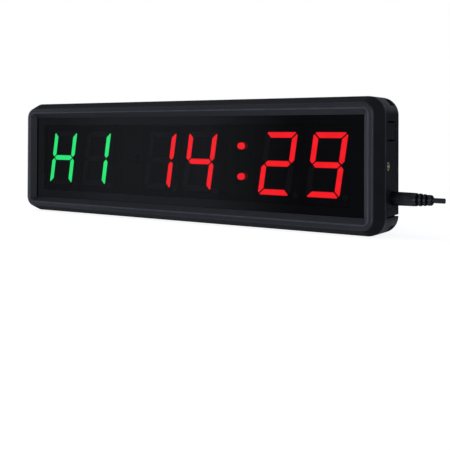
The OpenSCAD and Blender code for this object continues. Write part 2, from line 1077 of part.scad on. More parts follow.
module cover_screws() {
  head_back = case_depth - head_sink;
  head_front = case_depth - head_recess_depth;
  color(bright_metal)
    at_front()
      cover_fixing_positions()
        difference() {
          union() {
            post(0, 0, head_front, head_back, head_radius);
            post(0, 0, cover_front - cover_screw_length, head_front + head_sink,
              pilot_radius - screw_fit);
          }
          translate([0, 0, head_back])
            mirror([0, 0, 1])
              cross_recess(cover_cross_reach);
        }
}

module rating_label() {
  color(paper_grey)
    at_front()
      block(-label_x + label_play, label_x - label_play, -label_y + label_play,
        label_y - label_play, case_depth - label_sink, case_depth - label_low);
}

module upper_latch() {
  latch_tab(upper_latch_low, upper_latch_high, upper_latch_end);
  translate([half_width, upper_latch_mid, 0])
    rotate([90, 0, 0])
      linear_extrude(height = 2 * upper_catch_half, center = true)
        polygon([
          [-wall + latch_root, catch_front],
          [-wall, catch_front],
          [-catch_reach, catch_tip],
          [-catch_reach, catch_back],
          [-wall + latch_root, catch_back]
        ]);
}

module lower_latch() {
  latch_tab(lower_latch_low, lower_latch_high, case_depth - latch_play);
  block(half_width - catch_reach, half_width - wall + latch_root,
    lower_latch_mid - lower_catch_half, lower_latch_mid + lower_catch_half,
    case_depth - hook_thickness, case_depth - latch_play);
}

module right_upper_latch() {
  color(case_black)
    at_front()
      upper_latch();
}

module right_lower_latch() {
  color(case_black)
    at_front()
      lower_latch();
}

module left_upper_latch() {
  color(case_black)
    at_front()
      on_side(-1)
        upper_latch();
}

module left_lower_latch() {
  color(case_black)
    at_front()
      on_side(-1)
        lower_latch();
}

module turned(points) {
  translate([half_width, jack_y, jack_depth])
    rotate([0, 90, 0])
      rotate_extrude()
        polygon(points);
}

// Outline of one groove that starts at radius r, out from the end wall
function boot_groove(r, start, length) = [
  [r, start],
  [r - boot_groove_depth, start + boot_groove_slope],
  [r - boot_groove_depth, start + boot_groove_slope + length],
  [r - boot_groove_lip, start + 2 * boot_groove_slope + length]
];

// Moulded boot: tapers to the lead, with three grooves in its strain relief
module plug_boot() {
  r = boot_radius;
  color(soft_black)
    at_front()
      difference() {
        turned(concat(
          [[0, boot_start], [r - boot_chamfer, boot_start], [r, boot_chamfer]],
          [[r - boot_chamfer, boot_grip_end]],
          boot_groove(r - boot_step, boot_groove_start[0], boot_groove_length[0]),
          boot_groove(r - 2 * boot_step, boot_groove_start[1], boot_groove_length[1]),
          boot_groove(r - 3 * boot_step, boot_groove_start[2], boot_groove_length[2]),
          [[r - 4 * boot_step, boot_tail_start], [r - boot_tail_drop, boot_end], [0, boot_end]]
        ));
        end_bar(jack_y, jack_depth, -eps, boot_pocket, barrel_radius + press_play);
        end_bar(jack_y, jack_depth, lead_start, boot_end + eps, lead_radius + press_play);
      }
}

module plug_tube(tip, outer, inner) {
  difference() {
    end_bar(jack_y, jack_depth, tip, boot_pocket, outer);
    end_bar(jack_y, jack_depth, tip - eps, boot_pocket + eps, inner);
  }
}

module plug_barrel() {
  color(bright_metal)
    at_front()
      plug_tube(boot_start - barrel_length, barrel_radius, barrel_radius - barrel_wall);
}

module plug_insulator() {
  color(soft_black)
    at_front()
      plug_tube(boot_start - barrel_length + insulator_sink,
        barrel_radius - barrel_wall - tube_play, insulator_bore);
}

module plug_contact() {
  color(bright_metal)
    at_front()
      plug_tube(boot_start - barrel_length + contact_sink, contact_outer, contact_bore);
}

module power_lead() {
  color(soft_black)
    at_front()
      end_bar(jack_y, jack_depth, lead_start, boot_end + lead_length, lead_radius);
}

front_bezel();
rear_cover();
display_lens();
lens_tape();
main_board();
round_tens_module();
round_units_module();
minute_tens_module();
minute_units_module();
second_tens_module();
second_units_module();
round_segments_lit();
clock_segments_lit();
round_segments_unlit();
clock_segments_unlit();
colon_leds();
digit_pins();
ir_receiver();
microcontroller();
display_drivers();
clock_chip();
crystal();
coin_cell_holder();
coin_cell();
buzzer();
voltage_regulator();
capacitors();
resistors();
power_header();
power_wires();
jack_body();
jack_pin();
jack_spring();
left_insert();
right_insert();
board_screws();
cover_screws();
rating_label();
right_upper_latch();
right_lower_latch();
left_upper_latch();
left_lower_latch();
plug_boot();
plug_barrel();
plug_insulator();
plug_contact();
power_lead();
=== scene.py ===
import json
import math

import bmesh
import bpy
from mathutils import Matrix, Vector

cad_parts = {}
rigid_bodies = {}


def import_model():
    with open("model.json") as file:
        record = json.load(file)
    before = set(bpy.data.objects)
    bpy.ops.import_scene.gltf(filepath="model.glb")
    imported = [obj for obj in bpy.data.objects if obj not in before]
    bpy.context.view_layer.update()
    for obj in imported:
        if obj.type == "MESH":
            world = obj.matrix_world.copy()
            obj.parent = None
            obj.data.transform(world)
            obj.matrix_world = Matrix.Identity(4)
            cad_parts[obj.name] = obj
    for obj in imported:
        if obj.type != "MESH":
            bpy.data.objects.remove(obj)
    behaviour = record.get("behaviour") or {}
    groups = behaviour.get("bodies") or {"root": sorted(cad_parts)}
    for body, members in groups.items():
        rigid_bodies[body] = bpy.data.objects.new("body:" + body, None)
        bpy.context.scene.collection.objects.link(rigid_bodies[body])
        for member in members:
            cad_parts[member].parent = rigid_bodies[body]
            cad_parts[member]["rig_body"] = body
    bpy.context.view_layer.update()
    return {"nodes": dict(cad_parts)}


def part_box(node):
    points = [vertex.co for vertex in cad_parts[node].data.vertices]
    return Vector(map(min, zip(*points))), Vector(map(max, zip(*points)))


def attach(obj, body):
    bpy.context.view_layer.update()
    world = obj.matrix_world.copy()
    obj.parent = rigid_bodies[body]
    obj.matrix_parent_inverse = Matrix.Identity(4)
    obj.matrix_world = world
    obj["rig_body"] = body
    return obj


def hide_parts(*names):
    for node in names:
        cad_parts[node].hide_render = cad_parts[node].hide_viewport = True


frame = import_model()
NODES = frame["nodes"]

# The case's own frame: x to the right, y up from mid-height, d the depth behind the front, in mm
MM = 0.001
CASE_LOW, CASE_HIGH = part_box("front_bezel")
HALF_W = (CASE_HIGH.x - CASE_LOW.x) / 2 / MM
HALF_H = (CASE_HIGH.z - CASE_LOW.z) / 2 / MM
DEPTH = (CASE_HIGH.y - CASE_LOW.y) / MM


def case_box(node):
    """The low and the high corner of a CAD node as (x, y, d)."""
    return [(p.x / MM, p.z / MM - HALF_H, p.y / MM + DEPTH / 2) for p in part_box(node)]


# The frame's cross-section: widths from the outside inwards, depths from the front
RAIL = 12.5
WALL = 2.4
FRONT_INSET = 4.7
RIDGE_INSET = 8.3
TAPER_DEPTH = 10.6
LIP_DEPTH = 4.4
LIP_BACK = 4.95
LIP_ROOT = 5.2
# The fillet at the front outer edge, and how much rounder it is along the left-hand end
BROW_RADIUS = 1.6
LEFT_BROW_EXTRA = 1.2
# Centres of the corner circles
CORNER_X = HALF_W - RAIL
CORNER_Y = HALF_H - RAIL

# Inside the frame
COVER_FRONT = 33.5
BOSS_INSET = 8.2
BOSS_RADIUS = 2.8
RIB_HALF_THICKNESS = 0.8
RIB_START = TAPER_DEPTH + 2
RIB_END = 22.5
PILOT_RADIUS = 1.1
PILOT_LENGTH = 13.0
# The slots round the rear corners; the last two in degrees from each corner's first side
SLOT_FRONT = 24.5
SLOT_RIM = 2.2
SLOT_START = 31.0
SLOT_SWEEP = 28.0

# Latches: the depth of their hinges, and the low end, high end and rear of each cut-out
LATCH_HINGE = 14.0
UPPER_LATCH = (16.7, 30.2, 30.8)
LOWER_LATCH = (-34.7, -28.25, DEPTH + 1)

# Inserts: distances out from the end wall
(insert_tail, insert_low, insert_front), (insert_face, insert_high, insert_rear) = case_box(
    "right_insert")
INSERT_DEPTH = (insert_front + insert_rear) / 2
INSERT_RADIUS = (insert_high - insert_low) / 2
INSERT_FACE = insert_face - HALF_W
INSERT_TAIL = insert_tail - HALF_W
INSERT_BOSS_RADIUS = 5.2

# Jack and plug: the axis, and distances out from the end wall
(_, boot_low, boot_front), (boot_end, boot_high, boot_rear) = case_box("plug_boot")
JACK_Y = (boot_low + boot_high) / 2
JACK_DEPTH = (boot_front + boot_rear) / 2
JACK_HOLE_RADIUS = 4.95
BARREL_RADIUS = 2.75
BOOT_RADIUS = (boot_high - boot_low) / 2
BOOT_END = boot_end - HALF_W
# Where each groove starts, and its length
GROOVES = ((17.0, 1.2), (20.2, 1.0), (23.2, 0.8))
GROOVE_DEPTH = 0.6
# How much thinner the boot gets at each groove
GROOVE_SHRINK = 0.31
FLUTES = 22
FLUTE_DEPTH = 0.12
# The lead, how far apart its cores are, and how much of them its end shows
LEAD_RADIUS = 1.7
LEAD_ROOT = 22.5
CORE_OFFSET = 0.68
CORE_STRIP = 0.98


def place(x, y, d):
    """A point of the case in metres in the row frame."""
    return Vector((x, d - DEPTH / 2, y + HALF_H)) * MM


def end_point(side, y, d):
    """Maps (radius, distance out from an end wall, angle) to a point round an axis along x."""
    def point(radius, out, angle):
        return place(side * (HALF_W + out), y + radius * math.cos(angle),
                     d + radius * math.sin(angle))
    return point


def depth_point(x, y):
    """Maps (radius, depth, angle) to a point round an axis along the case's depth."""
    def point(radius, depth, angle):
        return place(x + radius * math.cos(angle), y + radius * math.sin(angle), depth)
    return point


# ---------------------------------------------------------------- mesh building

def rounded(points, steps=5):
    """A closed outline of (u, v, corner radius) with every corner filleted."""
    out = []
    for i, (u, v, radius) in enumerate(points):
        here = Vector((u, v))
        if radius <= 0:
            out.append((u, v))
            continue
        before = (Vector(points[i - 1][:2]) - here).normalized()
        after = (Vector(points[(i + 1) % len(points)][:2]) - here).normalized()
        half = before.angle(after) / 2
        middle = (before + after).normalized()
        centre = here + middle * (radius / math.sin(half))
        first = here + before * (radius / math.tan(half)) - centre
        last = here + after * (radius / math.tan(half)) - centre
        start = math.atan2(first.y, first.x)
        turn = math.atan2(last.y, last.x) - start
        turn = (turn + math.pi) % (2 * math.pi) - math.pi
        for k in range(steps + 1):
            angle = start + turn * k / steps
            out.append((centre.x + radius * math.cos(angle), centre.y + radius * math.sin(angle)))
    return out


def skin(loops):
    """A closed surface through a ring of loops, each a closed outline."""
    bm = bmesh.new()
    rows = [[bm.verts.new(p) for p in loop] for loop in loops]
    count = len(rows[0])
    for a, b in zip(rows, rows[1:] + rows[:1]):
        for i in range(count):
            j = (i + 1) % count
            bm.faces.new((a[i], a[j], b[j], b[i]))
    return cleaned(bm)


def cleaned(bm, distance=2e-7):
    """Welds what touches and drops what is loose."""
    bmesh.ops.remove_doubles(bm, verts=bm.verts, dist=distance)
    loose = [v for v in bm.verts if not v.link_faces]
    bmesh.ops.delete(bm, geom=loose, context="VERTS")
    wires = [e for e in bm.edges if e.is_wire]
    bmesh.ops.delete(bm, geom=wires, context="EDGES")
    return outward(bm)


def outward(bm):
    """Turns every face outwards."""
    bm.normal_update()
    bmesh.ops.recalc_face_normals(bm, faces=bm.faces)
    return bm


def turned(profile, point, steps=64, shape=None):
    """A profile of (radius, travel) turned round an axis; shape changes the radius by angle."""
    loops = []
    for k in range(steps):
        angle = 2 * math.pi * k / steps
        loops.append([point(shape(r, t, angle) if shape else r, t, angle) for r, t in profile])
    return skin(loops)


def block(x0, x1, y0, y1, d0, d1):
    """A box between two corners, for cutting and joining."""
    bm = bmesh.new()
    bmesh.ops.create_cube(bm, size=1)
    for v in bm.verts:
        v.co = place(x1 if v.co.x > 0 else x0, y1 if v.co.y > 0 else y0, d1 if v.co.z > 0 else d0)
    return outward(bm)


def side_block(side, x0, x1, y0, y1, d0, d1):
    """A block whose x is measured towards the end that side names."""
    return block(min(side * x0, side * x1), max(side * x0, side * x1), y0, y1, d0, d1)


def quarter_turn(steps):
    """Angles from 0 to a right angle."""
    return [math.pi / 2 * k / steps for k in range(steps + 1)]


def rod(point, radius, t0, t1, steps=48):
    """A round bar between two distances along an axis, for cutting and joining."""
    return turned([(0, t0), (radius, t0), (radius, t1), (0, t1)], point, steps)


def upright_rod(x, y0, y1, d, radius):
    """A round bar along the case's height."""
    def point(r, t, angle):
        return place(x + r * math.cos(angle), t, d + r * math.sin(angle))
    return turned([(0, y0), (radius, y0), (radius, y1), (0, y1)], point, 32)


def stand_in(bm):
    """A short-lived object for a boolean."""
    mesh = bpy.data.meshes.new("work")
    bm.to_mesh(mesh)
    bm.free()
    obj = bpy.data.objects.new("work", mesh)
    bpy.context.scene.collection.objects.link(obj)
    return obj


def combined(base, steps):
    """base after a row of exact booleans, given as (operation, mesh)."""
    for operation, bm in steps:
        host, tool = stand_in(base), stand_in(bm)
        cut = host.modifiers.new("cut", "BOOLEAN")
        cut.operation = operation
        cut.object = tool
        cut.solver = "EXACT"
        base = bmesh.new()
        base.from_object(host, bpy.context.evaluated_depsgraph_get())
        for obj in (tool, host):
            mesh = obj.data
            bpy.data.objects.remove(obj)
            bpy.data.meshes.remove(mesh)
        cleaned(base)
    return base


def piece(name, bm, material, node=None, body=None, sharp=34.0):
    """Makes the object, shades it, attaches it to its CAD node's body (or to the body given) and
    hides that node.
    """
    limit = math.radians(sharp)
    for f in bm.faces:
        f.smooth = True
    for e in bm.edges:
        e.smooth = e.is_manifold and e.calc_face_angle(0) < limit
    mesh = bpy.data.meshes.new(name)
    bm.to_mesh(mesh)
    bm.free()
    mesh.materials.append(material)
    obj = bpy.data.objects.new(name, mesh)
    bpy.context.scene.collection.objects.link(obj)
    normals = obj.modifiers.new("normals", "WEIGHTED_NORMAL")
    normals.keep_sharp = True
    if node:
        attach(obj, NODES[node]["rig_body"])
        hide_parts(node)
    else:
        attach(obj, body)
    return obj


def softened(name, node, material, width, where=None, segments=2, angle=30.0):
    """A copy of a CAD node with its sharp edges rounded, or those whose ends pass where."""
    bm = bmesh.new()
    bm.from_mesh(NODES[node].data)
    bmesh.ops.remove_doubles(bm, verts=bm.verts, dist=2e-6)
    bmesh.ops.dissolve_limit(bm, angle_limit=math.radians(0.5), verts=bm.verts, edges=bm.edges)
    limit = math.radians(angle)
    edges = [e for e in bm.edges if e.is_manifold and e.calc_face_angle(0) > limit
             and (where is None or all(where(v.co) for v in e.verts))]
    bmesh.ops.bevel(bm, geom=edges, offset=width * MM, offset_type="OFFSET", segments=segments,
                    profile=0.5, affect="EDGES", clamp_overlap=where is None)
    return piece(name, cleaned(bm), material, node)


# ---------------------------------------------------------------- shader building

def add(tree, kind, inputs=None, **settings):
    """A shader node; an input is a value or another node's output."""
    n = tree.nodes.new(kind)
    for key, value in settings.items():
        setattr(n, key, value)
    for key, value in (inputs or {}).items():
        if isinstance(value, bpy.types.NodeSocket):
            tree.links.new(value, n.inputs[key])
        else:
            n.inputs[key].default_value = value
    return n


def sums(tree, operation, a, b=0.0, c=0.0):
    """The output of a maths node."""
    return add(tree, "ShaderNodeMath", {0: a, 1: b, 2: c}, operation=operation).outputs[0]


def noise(tree, where, size, detail=2.0, roughness=0.5):
    """Smooth noise with features about size mm across, 0 to 1."""
    return add(tree, "ShaderNodeTexNoise", {
        "Vector": where, "Scale": 1 / (size * MM), "Detail": detail, "Roughness": roughness,
    }).outputs[0]


def spread(tree, value, low, high, start=0.3, end=0.7):
    """Maps value from start..end to low..high."""
    return add(tree, "ShaderNodeMapRange", {
        "Value": value, "From Min": start, "From Max": end, "To Min": low, "To Max": high,
    }).outputs[0]


def blended(tree, share, a, b):
    """Mixes two colours; share 0 gives a."""
    mix = add(tree, "ShaderNodeMix", {0: share, 6: a, 7: b}, data_type="RGBA")
    return mix.outputs[2]


def tone(colour, times=1.0):
    """A colour made lighter or darker, with full alpha."""
    return tuple(min(1.0, c * times) for c in colour[:3]) + (1.0,)


def drive(tree, shader, name, value):
    """Sets an input of the shader to a plain value or to another node's output."""
    if isinstance(value, bpy.types.NodeSocket):
        tree.links.new(value, shader.inputs[name])
    else:
        shader.inputs[name].default_value = value


def surface(name, colour, rough, vary=0.12, rough_vary=0.06, cloud=18.0, grain=0.6, bump=0.012,
            metallic=0.0, specular=0.5):
    """A procedural finish: colour clouds, roughness clouds and a fine grain in the bump.
    cloud and grain are feature sizes in mm, bump is the grain's height in mm."""
    mat = bpy.data.materials.new(name)
    mat.use_nodes = True
    tree = mat.node_tree
    shader = tree.nodes["Principled BSDF"]
    where = add(tree, "ShaderNodeTexCoord").outputs["Object"]
    clouds = noise(tree, where, cloud, 3.0)
    specks = noise(tree, where, grain, 2.0, 0.6)
    mottle = sums(tree, "ADD", sums(tree, "MULTIPLY", clouds, 0.55),
                  sums(tree, "MULTIPLY", specks, 0.45))
    shade = blended(tree, spread(tree, mottle, 0.0, 1.0), tone(colour, 1 - vary),
                    tone(colour, 1 + vary))
    roughness = spread(tree, noise(tree, where, cloud * 0.4, 3.0), rough - rough_vary,
                       rough + rough_vary)
    relief = add(tree, "ShaderNodeBump", {
        "Strength": 1.0, "Distance": bump * MM, "Height": specks,
    }).outputs[0]
    drive(tree, shader, "Base Color", shade)
    drive(tree, shader, "Roughness", roughness)
    drive(tree, shader, "Normal", relief)
    drive(tree, shader, "Metallic", metallic)
    drive(tree, shader, "Specular IOR Level", specular)
    return mat


def parts_of(mat):
    """The tree, the main shader and the object coordinates of a finish."""
    tree = mat.node_tree
    where = next(n for n in tree.nodes if n.type == "TEX_COORD").outputs["Object"]
    return tree, tree.nodes["Principled BSDF"], where


def feeding(shader, name):
    """What feeds an input: the socket linked to it, or its plain value."""
    socket = shader.inputs[name]
    return socket.links[0].from_socket if socket.links else socket.default_value


def axes_of(tree, vector):
    """The x, y and z outputs of a vector."""
    return add(tree, "ShaderNodeSeparateXYZ", {0: vector}).outputs[:]


def off_middle(tree, value, low, high):
    """How far value is from the middle between low and high."""
    return sums(tree, "ABSOLUTE", sums(tree, "SUBTRACT", value, (low + high) / 2))


def case_lines(tree, where):
    """(distance out from the corner circles' centres, depth) in metres, from object coordinates."""
    x, y, z = axes_of(tree, where)
    across = sums(tree, "MAXIMUM", sums(tree, "SUBTRACT", sums(tree, "ABSOLUTE", x),
                                        CORNER_X * MM), 0.0)
    upward = sums(tree, "ABSOLUTE", sums(tree, "SUBTRACT", z, HALF_H * MM))
    upward = sums(tree, "MAXIMUM", sums(tree, "SUBTRACT", upward, CORNER_Y * MM), 0.0)
    reach = sums(tree, "SQRT", sums(tree, "ADD", sums(tree, "MULTIPLY", across, across),
                                    sums(tree, "MULTIPLY", upward, upward)))
    return reach, sums(tree, "ADD", y, DEPTH / 2 * MM)


def near_line(tree, reach, depth, at, width):
    """1 on the line where reach and depth meet at, falling to 0 width mm away."""
    dr = sums(tree, "SUBTRACT", reach, at[0] * MM)
    dd = sums(tree, "SUBTRACT", depth, at[1] * MM)
    gap = sums(tree, "SQRT", sums(tree, "ADD", sums(tree, "MULTIPLY", dr, dr),
                                  sums(tree, "MULTIPLY", dd, dd)))
    return spread(tree, gap, 1.0, 0.0, 0.15 * MM, width * MM)


CASE_BLACK = (0.0150, 0.0155, 0.0180)
# How much paler the painted highlight along the frame's ridges and edges makes the black
RIDGE_HIGHLIGHT_TONE = 5.0
# The share of light that one pass through the window takes away, and the lamps that make up for it
LENS_DIMMING = 0.5
LAMP_POWER = 1.0 / (1 - LENS_DIMMING) ** 2
# The share of the lamps' light that falls on other pieces
STRAY_LIGHT = 0.2
GREEN_LIGHT = (0.020, 0.800, 0.180)
RED_LIGHT = (0.900, 0.0110, 0.0180)
# The depth behind which a colon lamp is dark
COLON_GLOW_END = 16.2


def case_plastic():
    """Black moulding with a spark-eroded grain, with a painted highlight along its ridges and
    edges, where it is also a little smoother.
    """
    mat = surface("case_plastic", CASE_BLACK, 0.46, vary=0.16, rough_vary=0.05, cloud=22,
                  grain=0.9, bump=0.010, specular=0.34)
    tree, shader, where = parts_of(mat)
    reach, depth = case_lines(tree, where)
    ridge = near_line(tree, reach, depth, (RAIL - RIDGE_INSET, 0.0), 0.9)
    edge = near_line(tree, reach, depth, (RAIL, TAPER_DEPTH), 0.9)
    brow = near_line(tree, reach, depth, (RAIL - FRONT_INSET, 0.0), 0.9)
    back = near_line(tree, reach, depth, (RAIL, DEPTH), 0.7)
    # Painted highlight: the black is lightened along the ridge and the taper's end, and a little
    # along the front outer edge and the back edge
    painted_highlight = sums(tree, "MAXIMUM", sums(tree, "MAXIMUM", ridge, edge),
                  sums(tree, "MULTIPLY", sums(tree, "MAXIMUM", brow, back), 0.15))
    patchy = spread(tree, noise(tree, where, 9.0, 3.0), 0.55, 1.0)
    painted_highlight = sums(tree, "MULTIPLY", painted_highlight, patchy)
    drive(tree, shader, "Base Color", blended(tree, sums(tree, "MULTIPLY", painted_highlight, 0.9),
                                              feeding(shader, "Base Color"),
                                              tone(CASE_BLACK, RIDGE_HIGHLIGHT_TONE)))
    drive(tree, shader, "Roughness", sums(tree, "SUBTRACT", feeding(shader, "Roughness"),
                                          sums(tree, "MULTIPLY", painted_highlight, 0.08)))
    return mat


def smoked_lens():
    """Polished smoked sheet that dims what is behind it, with faint handling haze and a black
    border printed on it beyond the digits."""
    mat = surface("smoked_lens", (0.0035, 0.0035, 0.0042), 0.07, vary=0.2, rough_vary=0.02,
                  cloud=40, grain=9.0, bump=0.0)
    tree, shader, where = parts_of(mat)
    haze = spread(tree, noise(tree, where, 55.0, 4.0, 0.6), 0.0, 0.05, 0.5, 0.8)
    drive(tree, shader, "Roughness", sums(tree, "ADD", feeding(shader, "Roughness"), haze))
    low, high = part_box("round_tens_module")[0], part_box("second_units_module")[1]
    x, _, z = axes_of(tree, where)
    beyond = [sums(tree, "SUBTRACT", off_middle(tree, value, near, far), (far - near) / 2)
              for value, near, far in ((x, low.x, high.x), (z, low.z, high.z))]
    border = spread(tree, sums(tree, "MAXIMUM", *beyond), 0.0, 1.0, 0.0, 0.3 * MM)
    drive(tree, shader, "Alpha", spread(tree, border, LENS_DIMMING, 1.0, 0.0, 1.0))
    # A clear spot reflects at both of its faces, but each by its alpha only
    two_faces = LENS_DIMMING * (2 - LENS_DIMMING)
    drive(tree, shader, "Specular IOR Level", spread(tree, border, 0.5, 0.5 * two_faces, 0.0, 1.0))
    return mat


def glowing(name, light, falloff):
    """A milky diffuser over small lamps, a little brighter over each. falloff is a function of
    the tree and the object coordinates that gives the share of the light at each spot."""
    mat = surface(name, tone(light, 0.25), 0.4, vary=0.08, cloud=6, grain=0.5, bump=0.004,
                  specular=0.4)
    tree, shader, where = parts_of(mat)
    power = spread(tree, noise(tree, where, 7.0, 1.0), 0.95, 1.06)
    power = sums(tree, "MULTIPLY", power, falloff(tree, where))
    seen = add(tree, "ShaderNodeLightPath").outputs["Is Camera Ray"]
    share = spread(tree, seen, STRAY_LIGHT, 1.0, 0.0, 1.0)
    power = sums(tree, "MULTIPLY", sums(tree, "MULTIPLY", power, share), LAMP_POWER)
    drive(tree, shader, "Emission Color", light + (1.0,))
    drive(tree, shader, "Emission Strength", power)
    return mat


def dim_at_rims(tree, where):
    """Less light where a segment's face rounds off."""
    normal = add(tree, "ShaderNodeNewGeometry").outputs["Normal"]
    return spread(tree, axes_of(tree, normal)[1], 1.0, 0.12, -0.97, -0.80)


def dim_behind_tip(tree, where):
    """Less light along the barrel of a round lamp."""
    end = (COLON_GLOW_END - DEPTH / 2) * MM
    return spread(tree, axes_of(tree, where)[1], 1.0, 0.04, end - 0.8 * MM, end + 0.4 * MM)


def circuit_board():
    """Dark solder mask with copper tracks showing through it as slightly paler lines."""
    mat = surface("circuit_board", (0.006, 0.020, 0.012), 0.32, vary=0.15, cloud=30, grain=0.8,
                  bump=0.004, specular=0.5)
    tree, shader, where = parts_of(mat)
    grid = add(tree, "ShaderNodeTexBrick", {
        "Vector": where, "Scale": 1.0 / (9 * MM), "Mortar Size": 0.03, "Mortar Smooth": 0.2,
        "Color1": (0, 0, 0, 1), "Color2": (0, 0, 0, 1), "Mortar": (1, 1, 1, 1),
    }, offset=0.37).outputs["Fac"]
    tracks = sums(tree, "MULTIPLY", grid, spread(tree, noise(tree, where, 14, 1.0), 0.0, 0.8))
    drive(tree, shader, "Base Color", blended(tree, tracks, feeding(shader, "Base Color"),
                                              (0.012, 0.045, 0.024, 1)))
    return mat


def turned_metal(name, colour, rough, turns=0.12):
    """Plated or turned metal with fine rings left by the tool."""
    mat = surface(name, colour, rough, vary=0.08, rough_vary=0.07, cloud=3.0, grain=0.25,
                  bump=0.002, metallic=1.0)
    tree, shader, where = parts_of(mat)
    rings = add(tree, "ShaderNodeTexWave", {
        "Vector": where, "Scale": 0.05 / (turns * MM), "Distortion": 1.5, "Detail": 2.0,
    }, wave_type="BANDS", bands_direction="X").outputs[1]
    relief = add(tree, "ShaderNodeBump", {
        "Strength": 0.6, "Distance": 0.004 * MM, "Height": rings,
        "Normal": feeding(shader, "Normal"),
    }).outputs[0]
    drive(tree, shader, "Normal", relief)
    return mat


def label_film():
    """Blank matt film with a faint printed border."""
    mat = surface("label_film", (0.50, 0.50, 0.49), 0.42, vary=0.05, cloud=25, grain=0.4,
                  bump=0.003, specular=0.4)
    tree, shader, where = parts_of(mat)
    low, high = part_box("rating_label")
    x, _, z = axes_of(tree, where)
    margins = [sums(tree, "SUBTRACT", (far - near) / 2, off_middle(tree, value, near, far))
               for value, near, far in ((x, low.x, high.x), (z, low.z, high.z))]
    line = sums(tree, "COMPARE", sums(tree, "MINIMUM", *margins), 2.2 * MM, 0.2 * MM)
    drive(tree, shader, "Base Color", blended(tree, sums(tree, "MULTIPLY", line, 0.8),
                                              feeding(shader, "Base Color"),
                                              (0.08, 0.08, 0.085, 1)))
    return mat


def jacket(name, colour, rough):
    """Soft PVC with the slight lengthwise drag marks of moulding."""
    mat = surface(name, colour, rough, vary=0.14, cloud=5, grain=0.35, bump=0.006, specular=0.42)
    tree, shader, where = parts_of(mat)
    stretched = add(tree, "ShaderNodeMapping", {
        "Vector": where, "Scale": (0.12, 1.0, 1.0),
    }).outputs[0]
    drag = noise(tree, stretched, 0.5, 2.0)
    relief = add(tree, "ShaderNodeBump", {
        "Strength": 0.5, "Distance": 0.012 * MM, "Height": drag,
        "Normal": feeding(shader, "Normal"),
    }).outputs[0]
    drive(tree, shader, "Normal", relief)
    return mat


def boot_moulding():
    """The plug's soft PVC, with painted shade at its root, where the case shades it, and in its
    grooves; both are also less glossy.
    """
    mat = jacket("boot_moulding", (0.012, 0.012, 0.014), 0.38)
    tree, shader, where = parts_of(mat)
    out = sums(tree, "SUBTRACT", axes_of(tree, where)[0], HALF_W * MM)
    # Painted shade: darker and less glossy near the end wall and in each groove (1 is unshaded)
    painted_light_level = spread(tree, out, 0.15, 1.0, 2.0 * MM, 10.0 * MM)
    for start, _ in GROOVES:
        middle = (start + 0.75) * MM
        away = sums(tree, "ABSOLUTE", sums(tree, "SUBTRACT", out, middle))
        painted_light_level = sums(tree, "MULTIPLY", painted_light_level, spread(tree, away, 0.08, 1.0, 0.6 * MM, 1.0 * MM))
    drive(tree, shader, "Base Color", blended(tree, painted_light_level, (0.002, 0.002, 0.0024, 1),
                                              feeding(shader, "Base Color")))
    drive(tree, shader, "Specular IOR Level", sums(tree, "MULTIPLY", painted_light_level, 0.30))
    return mat


CASE = case_plastic()
LENS = smoked_lens()
LIT_GREEN = glowing("lit_green", GREEN_LIGHT, dim_at_rims)
LIT_RED = glowing("lit_red", RED_LIGHT, dim_at_rims)
LAMP_RED = glowing("lamp_red", RED_LIGHT, dim_behind_tip)
UNLIT = surface("unlit_diffuser", (0.085, 0.080, 0.088), 0.35, vary=0.10, cloud=8, grain=0.5,
                bump=0.004)
HOUSING = surface("digit_housing", (0.016, 0.016, 0.018), 0.5, vary=0.12, cloud=15, grain=0.5,
                  bump=0.006, specular=0.3)
TAPE = surface("tape", (0.010, 0.010, 0.010), 0.7, vary=0.2, cloud=4, grain=0.4, bump=0.02)
BOARD = circuit_board()
EPOXY = surface("dark_epoxy", (0.010, 0.007, 0.009), 0.16, vary=0.15, cloud=3, grain=0.5,
                bump=0.002)
CHIP = surface("chip_package", (0.018, 0.018, 0.020), 0.55, vary=0.15, cloud=3, grain=0.2,
               bump=0.008, specular=0.4)
CERAMIC = surface("glazed_chip", (0.028, 0.028, 0.032), 0.28, vary=0.15, cloud=1.5, grain=0.2,
                  bump=0.003)
SLEEVE = surface("can_sleeve", (0.02, 0.02, 0.028), 0.3, vary=0.2, cloud=2, grain=0.3,
                 bump=0.003)
NYLON = surface("cream_nylon", (0.60, 0.55, 0.42), 0.48, vary=0.06, cloud=3, grain=0.4,
                bump=0.006)
RED_WIRE = jacket("red_wire", (0.36, 0.018, 0.018), 0.42)
MOULDED = surface("moulded_black", (0.014, 0.014, 0.015), 0.42, vary=0.15, cloud=4, grain=0.4,
                  bump=0.006, specular=0.4)
TINNED = turned_metal("tinned", (0.66, 0.66, 0.66), 0.34)
NICKEL = turned_metal("nickel", (0.72, 0.70, 0.67), 0.22)
STEEL = turned_metal("plated_steel", (0.56, 0.56, 0.57), 0.30, 0.3)
BRASS = turned_metal("turned_brass", (0.92, 0.87, 0.58), 0.38)
COPPER = turned_metal("bare_copper", (0.80, 0.42, 0.25), 0.35)
BLACK_ZINC = surface("black_zinc", (0.035, 0.035, 0.038), 0.34, vary=0.2, rough_vary=0.08,
                     cloud=1.5, grain=0.25, bump=0.004, metallic=0.7)
DARK_STEEL = surface("dark_steel", (0.012, 0.012, 0.013), 0.5, vary=0.2, cloud=1.5, grain=0.3,
                     bump=0.004, metallic=0.3)
LABEL = label_film()
BOOT = boot_moulding()
LEAD = jacket("lead_jacket", (0.006, 0.006, 0.008), 0.50)

